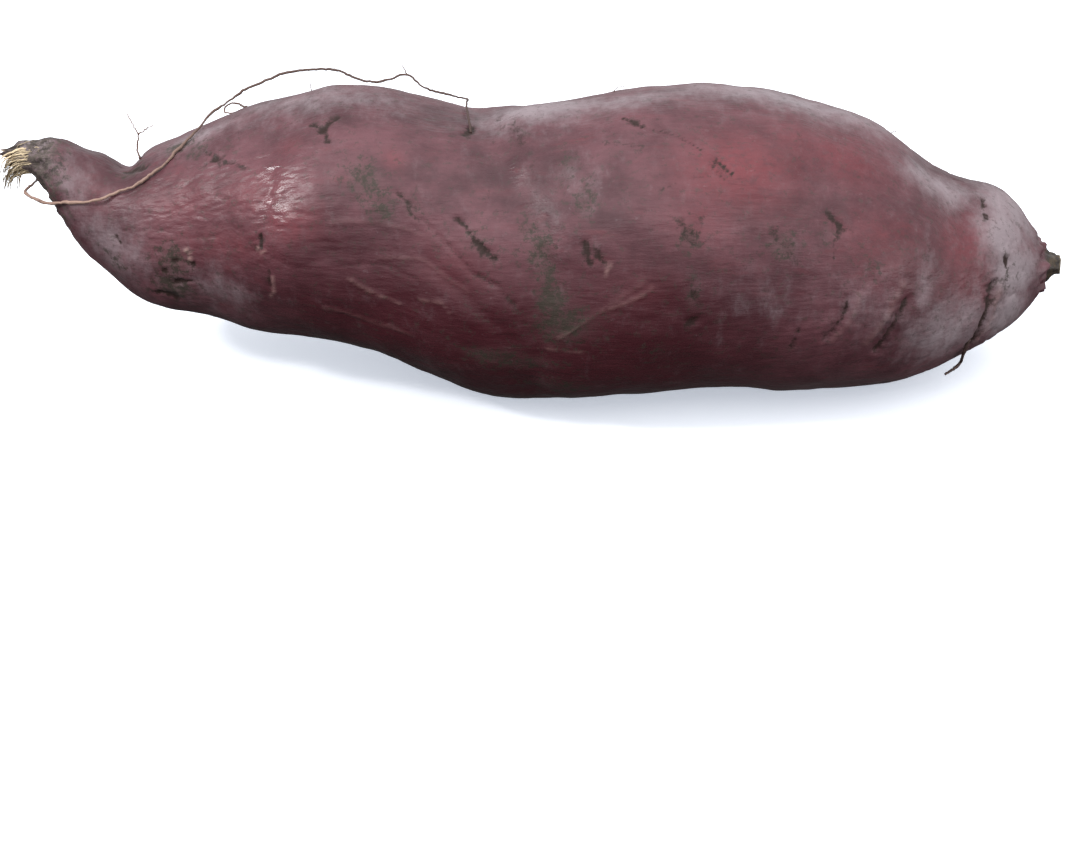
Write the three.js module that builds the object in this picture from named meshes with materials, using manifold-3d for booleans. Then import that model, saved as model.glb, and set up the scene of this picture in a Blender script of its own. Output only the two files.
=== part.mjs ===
// A whole sweet potato lying on its side: one solid tuber, from the torn stalk end to the broken
// root tip, and the loose rootlets that still grow out of its skin.
// Millimetres, +Z up, +X from the stalk end to the root tip, the tuber resting on z = 0.
import * as THREE from "three";
import { mergeVertices } from "three/addons/utils/BufferGeometryUtils.js";
import Module from "manifold-3d";

const wasm = await Module();
wasm.setup();

// ---------------------------------------------------------------- driving dimensions

const FLAT_DEPTH = 0.7; // how far the tuber's weight flattens its skin against the surface
const RINGS_PER_STATION = 3; // rings of vertices from one station to the next
const RING_SIDES = 36; // vertices round each ring
const TORN_DEPTH = 1.6; // how unevenly the stalk is torn off
const ROOTLET_SIDES = 8;

// Cross-sections of the tuber, upright and facing along X: the middle of the section is at (y, z),
// h is half its height and w is half its width.
const STATIONS = [
  // stalk, torn off at its end and hooked slightly downwards
  { x: -99.2, y: 11.0, z: 41.2, h: 2.3, w: 2.7 },
  { x: -95.4, y: 10.8, z: 42.0, h: 2.6, w: 3.2 },
  { x: -92.4, y: 10.5, z: 41.6, h: 3.6, w: 4.2 },
  { x: -90.4, y: 10.3, z: 39.2, h: 5.9, w: 5.8 },
  // neck, rising towards the stalk
  { x: -88.4, y: 10.2, z: 36.8, h: 7.9, w: 7.6 },
  { x: -85.0, y: 10.0, z: 33.2, h: 9.6, w: 9.4 },
  { x: -81.2, y: 9.8, z: 30.8, h: 10.9, w: 11.0 },
  { x: -76.6, y: 9.5, z: 28.5, h: 13.1, w: 13.2 },
  // upper lobe
  { x: -71.8, y: 9.2, z: 28.3, h: 14.8, w: 15.2 },
  { x: -62.4, y: 8.6, z: 29.5, h: 17.5, w: 18.0 },
  { x: -53.0, y: 7.8, z: 30.3, h: 20.7, w: 21.2 },
  { x: -38.2, y: 6.0, z: 32.4, h: 23.5, w: 24.2 },
  { x: -25.0, y: 3.8, z: 31.2, h: 24.5, w: 25.4 },
  // waist between the two lobes
  { x: -11.0, y: 1.2, z: 26.9, h: 26.1, w: 26.8 },
  // main lobe
  { x: 4.8, y: 0.0, z: 28.0, h: 27.7, w: 28.5 },
  { x: 19.8, y: 1.0, z: 29.3, h: 28.1, w: 29.2 },
  { x: 34.8, y: 2.2, z: 29.2, h: 27.7, w: 28.9 },
  { x: 48.0, y: 2.6, z: 28.4, h: 27.4, w: 28.2 },
  { x: 61.0, y: 2.8, z: 25.7, h: 25.0, w: 25.7 },
  { x: 68.6, y: 3.0, z: 23.4, h: 22.4, w: 23.1 },
  // taper to the root tip
  { x: 76.8, y: 3.6, z: 22.2, h: 18.7, w: 19.4 },
  { x: 84.4, y: 4.4, z: 22.4, h: 15.0, w: 15.6 },
  { x: 89.0, y: 5.0, z: 22.2, h: 11.8, w: 12.3 },
  { x: 92.6, y: 5.4, z: 21.2, h: 8.0, w: 8.4 },
  // collar of broken skin
  { x: 94.8, y: 5.6, z: 21.2, h: 6.0, w: 6.3 },
  { x: 96.4, y: 5.7, z: 21.5, h: 4.2, w: 4.5 },
  // stub of the root inside the collar
  { x: 96.9, y: 5.8, z: 20.9, h: 2.8, w: 3.0 },
  { x: 99.6, y: 6.0, z: 22.0, h: 1.5, w: 1.7 },
];
const ROOT_TIP_X = 100;
const TORN_PITH_X = -97.8; // the soft middle of the torn stalk lies behind its rim

// Low swellings of the skin. Angles go round a section in degrees: 0 faces -Y, 90 is the top.
const SWELLINGS = [
  { x: -44, angle: 20, height: 0.9, along: 14, round: 30 },
  { x: -24, angle: -30, height: 1.0, along: 13, round: 32 },
  { x: -50, angle: 185, height: 1.2, along: 16, round: 34 },
  { x: 2, angle: 200, height: 1.0, along: 12, round: 30 },
  { x: 30, angle: 55, height: 0.8, along: 15, round: 28 },
  { x: 40, angle: 175, height: 1.1, along: 18, round: 36 },
  { x: 58, angle: -15, height: 0.9, along: 10, round: 30 },
  { x: 72, angle: 215, height: 0.8, along: 9, round: 34 },
  { x: -80, angle: 190, height: 0.7, along: 6, round: 40 },
];

// Creases that run round the skin. Each is a valley across the tuber at x, leaning by lean
// millimetres for every degree, deepest at its angle and fading out on both sides.
const CREASES = [
  { x: -77.0, angle: 112, lean: 0.0, depth: 3.6, width: 1.9, round: 46 }, // neck fold
  { x: -3.0, angle: 50, lean: -0.1, depth: 0.9, width: 6.0, round: 60 }, // waist
  { x: -5.0, angle: 205, lean: 0.05, depth: 1.0, width: 6.0, round: 50 },
  { x: 80.0, angle: 75, lean: 0.03, depth: 0.6, width: 2.6, round: 60 }, // near the root tip
];

// Rootlets, as points on the skin: x, the angle round the section and the height above the skin.
const LONG_ROOTLET = {
  radius: 0.36,
  route: [
    // from its scar in the waist, over the top of the upper lobe
    [-11.8, 87, 0.8],
    [-12.2, 94, 0.8],
    [-12.9, 112, 1.2],
    [-12.9, 120, 1.9],
    [-15.5, 120, 2.0],
    [-18.3, 120, 1.9],
    [-21.3, 120, 1.9],
    [-24.0, 120, 3.4],
    [-27.8, 120, 1.8],
    [-30.6, 120, 1.1],
    [-33.8, 120, 1.6],
    [-36.8, 120, 2.9],
    [-39.3, 120, 3.5],
    [-43.0, 120, 4.0],
    [-47.4, 120, 4.6],
    [-50.9, 120, 4.2],
    [-54.7, 120, 3.9],
    [-57.6, 120, 3.1],
    [-61.1, 118, 1.9],
    // lying across the front of the neck
    [-63.2, 97, 0.9],
    [-65.4, 86, 0.9],
    [-68.1, 72, 0.9],
    [-70.8, 65, 0.9],
    [-73.8, 59, 0.9],
    [-77.0, 55, 0.9],
    [-80.8, 41, 0.9],
    [-84.3, 27, 0.9],
    [-88.1, 2, 0.9],
  ],
};
const LOOPED_END = [
  // its thin end, hanging in a loop under the stalk, as x, y and the height above the surface
  [-90.6, 3.0, 34.9],
  [-93.1, 3.4, 35.6],
  [-94.8, 4.5, 35.9],
  [-95.3, 6.0, 36.1],
  [-94.2, 7.5, 36.5],
  [-93.4, 8.6, 37.0],
];
const CURLED_ROOTLET = {
  radius: 0.26,
  route: [
    [-54.1, 110, 0.7],
    [-54.9, 116, 0.9],
    [-55.6, 118, 1.5],
    [-56.9, 118, 2.3],
    [-58.3, 118, 2.2],
    [-58.6, 117, 1.4],
    [-58.1, 112, 0.8],
  ],
};
const FORKED_ROOTLET = {
  radius: 0.24,
  stem: [
    [-74.3, 100, 0.7],
    [-75.2, 112, 2.1],
    [-74.9, 112, 4.3],
  ],
  fork: [-74.9, 112, 4.1],
  tips: [
    [-77.0, 112, 9.8],
    [-72.0, 112, 4.0],
  ],
};
const HOOKED_ROOTLET = {
  radius: 0.3,
  route: [
    [80.0, -25, 0.7],
    [79.6, -32, 0.7],
    [80.0, -50, 0.9],
    [78.8, -50, 1.4],
    [77.8, -50, 1.7],
    [76.9, -50, 1.6],
  ],
};

// ---------------------------------------------------------------- tuber

const radians = THREE.MathUtils.degToRad;

const middles = new THREE.CatmullRomCurve3(STATIONS.map((s) => new THREE.Vector3(s.x, s.y, s.z)));
const halves = new THREE.CatmullRomCurve3(STATIONS.map((s) => new THREE.Vector3(s.h, s.w, 0)));

// The section at t, from 0 at the first station to 1 at the last.
function sectionAt(t) {
  const middle = middles.getPoint(t);
  const half = halves.getPoint(t);
  return { x: middle.x, y: middle.y, z: middle.z, h: half.x, w: half.y };
}

// The section at a place along X, found by halving, since x only grows with t.
function sectionAtX(x) {
  let low = 0;
  let high = 1;
  for (let i = 0; i < 40; i++) {
    const t = (low + high) / 2;
    if (middles.getPoint(t).x < x) low = t;
    else high = t;
  }
  return sectionAt(low);
}

// A smooth bump of height 1 that has faded by about twice its spread.
const bump = (distance, spread) => Math.exp(-((distance / spread) ** 2));

// Degrees from one angle to another, the short way round.
const turnBetween = (a, b) => ((((a - b + 180) % 360) + 360) % 360) - 180;

// How far the skin stands out of its plain section, in millimetres.
function relief(x, angle) {
  let height = 0;
  for (const s of SWELLINGS) {
    height += s.height * bump(x - s.x, s.along) * bump(turnBetween(angle, s.angle), s.round);
  }
  for (const c of CREASES) {
    const turn = turnBetween(angle, c.angle);
    height -= c.depth * bump(x - c.x - c.lean * turn, c.width) * bump(turn, c.round);
  }
  return height;
}

// The skin at one angle of a section, standing lift millimetres clear of it.
function skinPoint(section, angle, lift = 0) {
  const out = new THREE.Vector2(-Math.cos(radians(angle)), Math.sin(radians(angle)));
  const away = relief(section.x, angle) + lift;
  return new THREE.Vector3(
    section.x,
    section.y + out.x * (section.w + away),
    section.z + out.y * (section.h + away),
  );
}

// The surface lies FLAT_DEPTH above the lowest skin, so that the skin there is pressed flat.
function tuberGeometry() {
  const rings = (STATIONS.length - 1) * RINGS_PER_STATION + 1;
  const points = [];
  for (let ring = 0; ring < rings; ring++) {
    const section = sectionAt(ring / (rings - 1));
    for (let side = 0; side < RING_SIDES; side++) {
      const angle = (360 * side) / RING_SIDES;
      const point = skinPoint(section, angle);
      if (ring === 0) point.x += TORN_DEPTH * tornEdge(angle);
      points.push(point);
    }
  }
  const pith = new THREE.Vector3(TORN_PITH_X, STATIONS[0].y, STATIONS[0].z);
  const last = STATIONS[STATIONS.length - 1];
  const tip = new THREE.Vector3(ROOT_TIP_X, last.y, last.z);
  points.push(pith, tip);

  const floor = Math.min(...points.map((p) => p.z)) + FLAT_DEPTH;
  for (const p of points) p.z = Math.max(p.z - floor, 0);

  const triangles = [];
  const vertex = (ring, side) => ring * RING_SIDES + (side % RING_SIDES);
  for (let side = 0; side < RING_SIDES; side++) {
    for (let ring = 0; ring < rings - 1; ring++) {
      const corners = [
        vertex(ring, side),
        vertex(ring + 1, side),
        vertex(ring + 1, side + 1),
        vertex(ring, side + 1),
      ];
      triangles.push(corners[0], corners[1], corners[2]);
      triangles.push(corners[0], corners[2], corners[3]);
    }
    triangles.push(points.length - 2, vertex(0, side), vertex(0, side + 1));
    triangles.push(points.length - 1, vertex(rings - 1, side + 1), vertex(rings - 1, side));
  }
  const geometry = new THREE.BufferGeometry().setFromPoints(points).setIndex(triangles);
  geometry.computeVertexNormals();
  return { geometry, floor };
}

// The rim of the torn stalk, from about -1 to 1 round the section.
function tornEdge(angle) {
  return 0.6 * Math.sin(radians(3 * angle + 40)) + 0.4 * Math.sin(radians(5 * angle));
}

// ---------------------------------------------------------------- rootlets

// A closed tube of one radius along a smooth curve through the points.
function tube(points, radius) {
  const section = new THREE.Shape().absarc(0, 0, radius, 0, 2 * Math.PI);
  return new THREE.ExtrudeGeometry(section, {
    extrudePath: new THREE.CatmullRomCurve3(points),
    curveSegments: ROOTLET_SIDES / 2,
    steps: 2 * points.length,
  });
}

// Turns [x, angle, lift] into a place beside the tuber as it rests.
function besideSkin([x, angle, lift], floor) {
  const point = skinPoint(sectionAtX(x), angle, lift);
  point.z -= floor;
  return point;
}

function solidOf(geometry) {
  const bare = new THREE.BufferGeometry().setAttribute(
    "position",
    (geometry.index ? geometry.toNonIndexed() : geometry).getAttribute("position"),
  );
  const merged = mergeVertices(bare, 1e-4);
  return new wasm.Manifold(
    new wasm.Mesh({
      numProp: 3,
      vertProperties: merged.attributes.position.array,
      triVerts: new Uint32Array(merged.index.array),
    }),
  );
}

function joined(geometries) {
  const mesh = geometries.map(solidOf).reduce((all, next) => all.add(next)).getMesh();
  const geometry = new THREE.BufferGeometry()
    .setAttribute("position", new THREE.BufferAttribute(mesh.vertProperties, 3))
    .setIndex(new THREE.BufferAttribute(mesh.triVerts, 1));
  geometry.computeVertexNormals();
  return geometry;
}

function longRootlet(floor) {
  const route = LONG_ROOTLET.route.map((place) => besideSkin(place, floor));
  const loop = LOOPED_END.map((place) => new THREE.Vector3(...place));
  return tube([...route, ...loop], LONG_ROOTLET.radius);
}

function plainRootlet(rootlet, floor) {
  return tube(
    rootlet.route.map((place) => besideSkin(place, floor)),
    rootlet.radius,
  );
}

function forkedRootlet(floor) {
  const { radius, stem, fork, tips } = FORKED_ROOTLET;
  const start = besideSkin(fork, floor);
  const branches = tips.map((tip) => tube([start, besideSkin(tip, floor)], radius));
  return joined([tube(stem.map((place) => besideSkin(place, floor)), radius), ...branches]);
}

// ---------------------------------------------------------------- the object

const skin = new THREE.MeshStandardMaterial({ color: 0x7a3f4c, roughness: 0.5, metalness: 0 });
const rootFibre = new THREE.MeshStandardMaterial({ color: 0x8a6a58, roughness: 0.8, metalness: 0 });

const group = new THREE.Group();

function addPiece(name, geometry, material) {
  const mesh = new THREE.Mesh(geometry, material);
  mesh.name = name;
  group.add(mesh);
}

const { geometry: tuber, floor } = tuberGeometry();
addPiece("tuber", tuber, skin);
addPiece("long_rootlet", longRootlet(floor), rootFibre);
addPiece("curled_rootlet", plainRootlet(CURLED_ROOTLET, floor), rootFibre);
addPiece("forked_rootlet", forkedRootlet(floor), rootFibre);
addPiece("hooked_rootlet", plainRootlet(HOOKED_ROOTLET, floor), rootFibre);

// The origin is on the surface, under the middle of the whole object.
const middle = new THREE.Box3().setFromObject(group).getCenter(new THREE.Vector3());
group.position.set(-middle.x, -middle.y, 0);

export default group;
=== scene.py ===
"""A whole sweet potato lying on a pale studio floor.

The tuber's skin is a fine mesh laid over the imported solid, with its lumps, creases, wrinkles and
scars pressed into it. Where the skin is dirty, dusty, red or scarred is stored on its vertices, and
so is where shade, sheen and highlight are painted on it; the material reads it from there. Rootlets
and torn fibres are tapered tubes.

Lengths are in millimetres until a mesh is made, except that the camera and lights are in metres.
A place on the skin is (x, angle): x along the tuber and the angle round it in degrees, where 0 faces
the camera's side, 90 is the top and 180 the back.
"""
import math

import bpy
import numpy as np
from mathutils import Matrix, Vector
from mathutils.bvhtree import BVHTree


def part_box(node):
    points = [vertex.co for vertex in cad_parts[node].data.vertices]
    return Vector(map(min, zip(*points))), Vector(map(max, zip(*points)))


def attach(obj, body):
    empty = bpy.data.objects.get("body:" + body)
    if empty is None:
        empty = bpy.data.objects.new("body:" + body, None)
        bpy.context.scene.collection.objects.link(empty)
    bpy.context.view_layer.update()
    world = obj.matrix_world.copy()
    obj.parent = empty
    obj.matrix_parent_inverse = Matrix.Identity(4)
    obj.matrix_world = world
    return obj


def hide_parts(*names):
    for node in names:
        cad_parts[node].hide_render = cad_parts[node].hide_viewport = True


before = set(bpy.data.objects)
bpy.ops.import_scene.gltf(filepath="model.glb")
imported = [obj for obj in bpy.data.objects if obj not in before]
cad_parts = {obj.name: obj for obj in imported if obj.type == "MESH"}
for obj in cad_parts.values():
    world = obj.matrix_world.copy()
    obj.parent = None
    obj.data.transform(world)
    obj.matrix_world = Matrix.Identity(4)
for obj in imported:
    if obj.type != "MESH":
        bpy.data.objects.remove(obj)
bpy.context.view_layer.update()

MM = 0.001
CAD_TIP_X = 100.0  # the root tip's x in the part's own station table
ROOT = "root"
rng = np.random.default_rng(7)


# ---------------------------------------------------------------- camera

CAMERA_DISTANCE = 478 * MM  # from the tuber's middle
CAMERA_ASIDE = 1.1 * MM  # towards the root tip
CAMERA_ELEVATION = 30.0  # of the line from the tuber's middle to the camera
CAMERA_AIM_BELOW = 4.3  # the camera points this much below the tuber, which lies high in its frame
TUBER_MIDDLE = Vector((0, 0, 28 * MM))


def add_camera():
    """The camera, in front of the tuber and above it."""
    rise = math.radians(CAMERA_ELEVATION)
    data = bpy.data.cameras.new("camera")
    data.lens = 85
    data.sensor_width = 36
    data.clip_start = 0.01
    camera = bpy.data.objects.new("camera", data)
    away = Vector((0, -math.cos(rise), math.sin(rise)))
    camera.location = TUBER_MIDDLE + CAMERA_DISTANCE * away + Vector((CAMERA_ASIDE, 0, 0))
    camera.rotation_euler = (math.radians(90 - CAMERA_ELEVATION - CAMERA_AIM_BELOW), 0, 0)
    bpy.context.scene.collection.objects.link(camera)
    bpy.context.scene.camera = camera


add_camera()


# ---------------------------------------------------------------- the skin's grid

SIDES_FRONT = 186  # vertices round the part that faces the camera's side, from -60 to 125 degrees
SIDES_BACK = 98
FRONT_FROM, FRONT_TO = -60.0, 125.0
SEAM = -100.0  # the first angle of the grid, under the tuber
X_FROM, X_TO = -99.0, 99.8
FINE_ENDS = 86.0  # beyond this x either way the rings are closer together
STEP_MIDDLE, STEP_ENDS = 0.65, 0.36
RING_DEPTH = 0.011  # vertices of the solid that are this close in x belong to one ring
FEWEST_IN_RING = 30  # places with fewer vertices than this are the two ends, not rings
# The spreads of the bell curves that smooth the solid's facets away.
SMOOTH_ROUND = 4.0  # degrees
SMOOTH_ALONG = 1.2
SMOOTH_MIDDLES = 1.5


def ring_places():
    """The x of every ring, closer together over the stalk and the root tip."""
    left = np.arange(X_FROM, -FINE_ENDS, STEP_ENDS)
    middle = np.arange(-FINE_ENDS, FINE_ENDS, STEP_MIDDLE)
    right = np.append(np.arange(FINE_ENDS, X_TO, STEP_ENDS), X_TO)
    return np.concatenate([left, middle, right])


def ring_angles():
    """The angles of a ring's vertices, closer together on the side that faces the camera."""
    front = np.linspace(FRONT_FROM, FRONT_TO, SIDES_FRONT, endpoint=False)
    back = np.linspace(FRONT_TO, 360 + FRONT_FROM, SIDES_BACK, endpoint=False)
    angles = np.concatenate([front, back])
    return np.sort((angles - SEAM) % 360 + SEAM)


def section_middles(vertices, xs):
    """The middle (y, z) of the solid's cross-section at each x, from its rings of vertices."""
    places, middles = [], []
    for x in np.unique(np.round(vertices[:, 0], 2)):
        ring = vertices[np.abs(vertices[:, 0] - x) < RING_DEPTH]
        if len(ring) > FEWEST_IN_RING:
            places.append(x)
            middles.append((ring.min(axis=0) + ring.max(axis=0))[1:] / 2)
    middles = np.array(middles)
    return np.stack([np.interp(xs, places, middles[:, 0]), np.interp(xs, places, middles[:, 1])], 1)


def smoothed(values, positions, spread, period=None):
    """values averaged along their first axis with a bell curve of that spread."""
    gaps = positions[:, None] - positions[None, :]
    if period:
        gaps = (gaps + period / 2) % period - period / 2
    spacing = np.abs(np.gradient(positions))
    weights = np.exp(-0.5 * (gaps / spread) ** 2) * spacing[None, :]
    return (weights / weights.sum(axis=1, keepdims=True)) @ values


def solid_radii(xs, angles, middles, tree):
    """How far the solid's surface is from its section's middle, for every ring and angle.

    A ray can slip out between two facets or past the torn rim. Where it does, the radius comes
    from the rings before and after, and each radius is the middle one of its neighbours.
    """
    directions = [
        Vector((0, -math.cos(math.radians(a)), math.sin(math.radians(a)))) for a in angles
    ]
    radii = np.zeros((len(xs), len(angles)))
    for i, x in enumerate(xs):
        start = Vector((x, *middles[i]))
        for j, direction in enumerate(directions):
            hit = tree.ray_cast(start, direction)
            radii[i, j] = hit[3] if hit[0] else np.nan
    for column in radii.T:
        found = np.isfinite(column)
        column[:] = np.interp(xs, xs[found], column[found])
    beside = np.stack([np.roll(radii, shift, axis=1) for shift in range(-3, 4)])
    return np.median(beside, axis=0)


def tuber_grid():
    """xs, angles, section middles and radii of the tuber, without the solid's facets."""
    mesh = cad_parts["tuber"].data
    vertices = np.empty(3 * len(mesh.vertices))
    mesh.vertices.foreach_get("co", vertices)
    vertices = vertices.reshape(-1, 3) / MM
    faces = [tuple(p.vertices) for p in mesh.polygons]
    tree = BVHTree.FromPolygons([Vector(v) for v in vertices], faces)
    xs, angles = ring_places(), ring_angles()
    middles = section_middles(vertices, xs)
    radii = solid_radii(xs, angles, middles, tree)
    radii = smoothed(radii.T, angles, SMOOTH_ROUND, period=360).T
    radii = smoothed(radii, xs, SMOOTH_ALONG)
    return xs, angles, smoothed(middles, xs, SMOOTH_MIDDLES), radii


XS, ANGLES, MIDDLES, RADII = tuber_grid()
GRID_X = np.repeat(XS[:, None], len(ANGLES), axis=1)
GRID_ANGLE = np.repeat(ANGLES[None, :], len(XS), axis=0)
MEAN_RADIUS = RADII.mean(axis=1)


def grid_points(radii):
    """The grid's points, at those distances from the middles of the sections."""
    turn = np.radians(GRID_ANGLE)
    return np.stack(
        [
            GRID_X,
            MIDDLES[:, :1] - np.cos(turn) * radii,
            MIDDLES[:, 1:] + np.sin(turn) * radii,
        ],
        axis=-1,
    )


def grid_normals(points):
    """The outward direction at every point of a grid."""
    along = np.gradient(points, axis=0)
    around = np.roll(points, -1, axis=1) - np.roll(points, 1, axis=1)
    normals = np.cross(along, around)
    return normals / np.linalg.norm(normals, axis=-1, keepdims=True)


BASE_POINTS = grid_points(RADII)
BASE_NORMALS = grid_normals(BASE_POINTS)


def skin_place(x, angle, lift=0.0):
    """The point lift millimetres off the plain skin at (x, angle)."""
    i = np.interp(x, XS, np.arange(len(XS)))
    j = np.interp((angle - SEAM) % 360 + SEAM, ANGLES, np.arange(len(ANGLES)))
    i, j = int(round(float(i))), int(round(float(j)))
    turn = math.radians(ANGLES[j])
    place = BASE_POINTS[i, j] + lift * np.array([0, -math.cos(turn), math.sin(turn)])
    place[0] += x - XS[i]
    return place


# ---------------------------------------------------------------- fields and marks on the skin


def bell(distance, spread):
    """1 at no distance, fading to almost 0 by twice the spread."""
    return np.exp(-((distance / spread) ** 2))


def turn_from(angle):
    """Degrees from angle to every vertex, the short way round."""
    return (GRID_ANGLE - angle + 180) % 360 - 180


WAVE_COUNT = 36


def waves(size, stretch=(1.0, 1.0, 1.0)):
    """A smooth random field over the skin, about -1 to 1, with features of that size."""
    directions = rng.normal(size=(WAVE_COUNT, 3))
    directions /= np.linalg.norm(directions, axis=1, keepdims=True)
    lengths = rng.uniform(0.7, 1.5, size=(WAVE_COUNT, 1))
    pitch = 2 * math.pi / (2 * size) * directions * lengths / np.array(stretch)
    phases = rng.uniform(0, 2 * math.pi, WAVE_COUNT)
    total = np.zeros(GRID_X.shape)
    for vector, phase in zip(pitch, phases):
        total += np.cos(BASE_POINTS @ vector + phase)
    return total / math.sqrt(WAVE_COUNT / 2)


# Distances from scars and ridges are multiplied by this, so that their edges wander.
UNEVEN = np.clip(1 + 0.45 * waves(1.3), 0.55, 1.9)


def grooves(field, sharpness):
    """1 along the lines where the field changes sign, falling to 0 beside them."""
    return bell(field, sharpness)


def patch(x, angle, along, around):
    """1 at a place on the skin, fading out over those distances along and round it."""
    away = np.radians(turn_from(angle)) * MEAN_RADIUS[:, None]
    return bell(GRID_X - x, along) * bell(away, around)


def distance_to(route):
    """How far every vertex is from a line of (x, angle) places, in millimetres over the skin."""
    route = np.array(route, dtype=float)
    if len(route) == 1:
        route = np.repeat(route, 2, axis=0)
    centre = route[:, 1].mean()
    arc = np.radians(turn_from(centre)) * MEAN_RADIUS[:, None]
    radii = np.interp(route[:, 0], XS, MEAN_RADIUS)
    line = np.stack([route[:, 0], np.radians(route[:, 1] - centre) * radii], axis=1)
    nearest = np.full(GRID_X.shape, 1e3)
    for start, end in zip(line[:-1], line[1:]):
        span = end - start
        length = max(float(span @ span), 1e-9)
        share = ((GRID_X - start[0]) * span[0] + (arc - start[1]) * span[1]) / length
        share = np.clip(share, 0, 1)
        gap = np.hypot(GRID_X - start[0] - share * span[0], arc - start[1] - share * span[1])
        nearest = np.minimum(nearest, gap)
    return nearest


# Dark scars: the line they follow, half their width, their depth and how dark they are.
SCARS = [
    ([(-40, 73), (-38, 70), (-35, 77)], 0.36, 0.3, 0.95),
    ([(-38, 70), (-36.8, 62)], 0.4, 0.3, 0.95),
    ([(-38, 69)], 0.6, 0.3, 0.9),
    ([(-58, 64)], 1.0, 0.4, 0.95),
    ([(-61, 74), (-58, 64), (-52, 54)], 0.3, 0.15, 0.6),
    ([(-48.9, 21), (-48.9, 15)], 0.42, 0.35, 0.8),
    ([(-24, 43), (-21, 39)], 0.5, 0.25, 0.7),
    ([(-22.6, 38), (-20.4, 35)], 0.4, 0.2, 0.6),
    ([(-13.4, 41), (-12, 39.5), (-10, 34), (-7, 28)], 0.42, 0.35, 0.85),
    ([(-10.6, 33), (-9, 29)], 0.6, 0.2, 0.6),
    ([(9, 31), (10, 23)], 0.46, 0.35, 0.85),
    ([(11, 27), (12.4, 23)], 0.5, 0.25, 0.7),
    ([(16, 81), (17.5, 79), (19.5, 75)], 0.5, 0.25, 0.8),
    ([(19.5, 75), (25, 70), (30, 63)], 0.22, 0.12, 0.55),
    ([(32, 59), (35, 52)], 0.35, 0.2, 0.85),
    ([(31.4, 56), (33.6, 50)], 0.28, 0.15, 0.6),
    ([(12, 69), (19, 66)], 0.22, 0.1, 0.4),
    ([(22, 47), (27, 51), (32, 52)], 0.22, 0.12, 0.4),
    ([(26, 35), (28, 28)], 0.9, 0.15, 0.6),
    ([(29.5, 36), (29, 31)], 0.5, 0.15, 0.4),
    ([(42, 31), (46, 23)], 1.0, 0.15, 0.45),
    ([(52, 41), (55, 36)], 0.6, 0.3, 0.8),
    ([(54, 39), (53, 24)], 0.28, 0.15, 0.55),
    ([(28, 0)], 0.8, 0.4, 0.85),
    ([(27, 14), (29, 6)], 0.6, 0.15, 0.5),
    ([(87, 32)], 0.6, 0.3, 0.85),
    ([(83, 81), (83.4, 64)], 0.4, 0.25, 0.8),
    ([(84.5, 17), (83.5, 0), (80.5, -28)], 0.5, 0.6, 0.85),
    ([(56, 10), (55, 2), (52, -8)], 0.4, 0.45, 0.6),
    ([(67, 14), (64.5, -1), (62, -13)], 0.45, 0.55, 0.7),
    ([(47.5, -3), (46, -12)], 0.4, 0.3, 0.5),
    ([(71, 40), (70, 26)], 0.3, 0.2, 0.35),
    ([(-19.7, 36), (-14.5, 29), (-11, 22), (-6, 17), (-3, 7)], 0.35, 0.3, 0.3),
    ([(-34, 8), (-27, 12), (-20, 10)], 0.25, 0.15, 0.3),
    ([(-76, 84), (-73, 78)], 0.8, 0.3, 0.8),
    ([(-11.8, 90), (-12.2, 84)], 0.7, 0.3, 0.85),
    ([(-6.5, 100), (-5.5, 86)], 0.5, 0.2, 0.45),
    ([(-3.6, 92), (-2.2, 75)], 0.5, 0.2, 0.5),
    ([(-0.5, 66), (0.5, 57)], 0.4, 0.15, 0.35),
    ([(-47.6, 5), (-47.6, -4)], 0.3, 0.2, 0.5),
    ([(-77.4, 16), (-76.8, 12)], 0.35, 0.2, 0.8),
    ([(-65.8, 4)], 0.45, 0.3, 0.9),
    ([(-62.8, 1)], 0.5, 0.3, 0.95),
    ([(-68.4, -4)], 0.5, 0.3, 0.9),
    ([(-66.8, -14), (-63.4, -11)], 0.5, 0.3, 0.9),
    ([(-69.7, -25), (-66.5, -27)], 0.6, 0.3, 0.9),
]

# Wide, smooth folds: the line they follow, half their width and their depth.
FOLDS = [
    ([(-10, 112), (-7, 76), (-3, 52), (0, 35), (2, 20), (1, 0), (-1, -36)], 3.4, 0.75),
    ([(-19, 20), (-12, 12), (-6, 0), (-4, -12), (-4, -30)], 1.8, 0.45),
    ([(-84, 60), (-79, 36), (-77, 12)], 2.4, 0.5),
    ([(74, 95), (76, 70), (75, 45)], 3.0, 0.35),
    ([(-20, 230), (-16, 200), (-17, 170), (-12, 140)], 4.0, 0.7),
    ([(44, 215), (48, 190), (46, 160)], 5.0, 0.5),
    ([(-62, 200), (-60, 175), (-64, 150)], 4.0, 0.5),
]
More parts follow.
